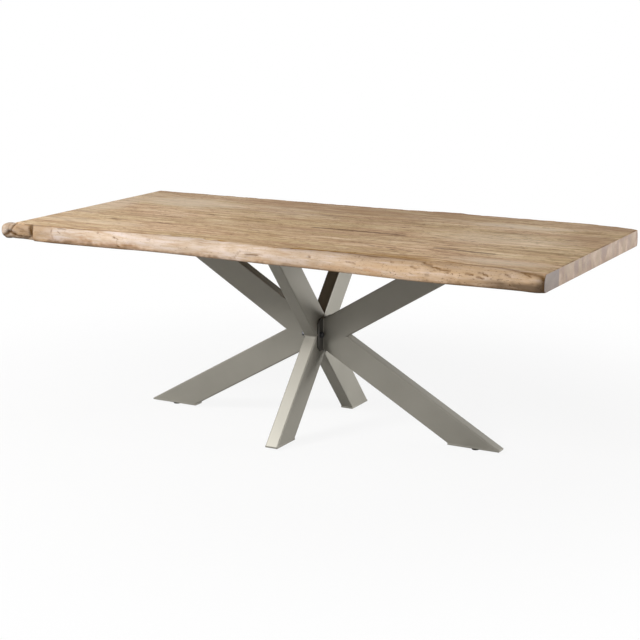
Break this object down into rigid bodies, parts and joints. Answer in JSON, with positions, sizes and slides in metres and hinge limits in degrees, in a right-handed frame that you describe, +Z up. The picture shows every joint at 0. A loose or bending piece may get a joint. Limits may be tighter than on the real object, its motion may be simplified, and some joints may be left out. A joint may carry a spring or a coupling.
{
  "type": "dining table",
  "caption": "Live-edge dining table: a thick slab glued up from hardwood boards on a starburst base of rectangular steel tubes, with levelling glides under the feet.",
  "frame": {"origin": "on the floor, under the middle of the outline of the whole table", "axes": "+X along the length of the top to the right, +Y to the back, +Z up"},
  "size_m": [2.168, 1.0594, 0.762],
  "materials": {
    "wood": "satin oiled hardwood",
    "paint": "satin powder coat, warm grey",
    "zinc": "zinc plated steel",
    "brass": "turned brass",
    "nylon": "moulded nylon, fine texture"
  },
  "bodies": {
    "table": {"top_board_1": "wood", "top_board_2": "wood", "top_board_3": "wood", "top_board_4": "wood", "top_board_5": "wood", "top_board_6": "wood", "top_board_7": "wood", "arm_left_lower": "paint", "arm_left_upper": "paint", "arm_right_lower": "paint", "arm_right_upper": "paint", "cross_bar": "paint", "cross_stub_front": "paint", "cross_stub_back": "paint", "hub_plate_left": "paint", "hub_plate_right": "paint", "hub_bolts": "zinc", "hub_washers": "zinc", "hub_nuts": "zinc", "hub_sleeves": "zinc", "top_plate_left": "paint", "top_plate_right": "paint", "top_plate_front": "paint", "top_plate_back": "paint", "top_bolts": "zinc", "top_washers": "zinc", "top_inserts": "brass", "foot_plate_left": "paint", "foot_plate_right": "paint", "foot_plate_front": "paint", "foot_plate_back": "paint", "foot_nuts": "zinc"},
    "glide_left": {"glide_pad_left": "nylon", "glide_stud_left": "zinc"},
    "glide_right": {"glide_pad_right": "nylon", "glide_stud_right": "zinc"},
    "glide_front": {"glide_pad_front": "nylon", "glide_stud_front": "zinc"},
    "glide_back": {"glide_pad_back": "nylon", "glide_stud_back": "zinc"}
  },
  "joints": [
    {"name": "glide_left_screw", "type": "slide", "parent": "table", "child": "glide_left", "axis": [0, 0, -1], "range_m": [0, 0.012]},
    {"name": "glide_right_screw", "type": "slide", "parent": "table", "child": "glide_right", "axis": [0, 0, -1], "range_m": [0, 0.012]},
    {"name": "glide_front_screw", "type": "slide", "parent": "table", "child": "glide_front", "axis": [0, 0, -1], "range_m": [0, 0.012]},
    {"name": "glide_back_screw", "type": "slide", "parent": "table", "child": "glide_back", "axis": [0, 0, -1], "range_m": [0, 0.012]}
  ]
}
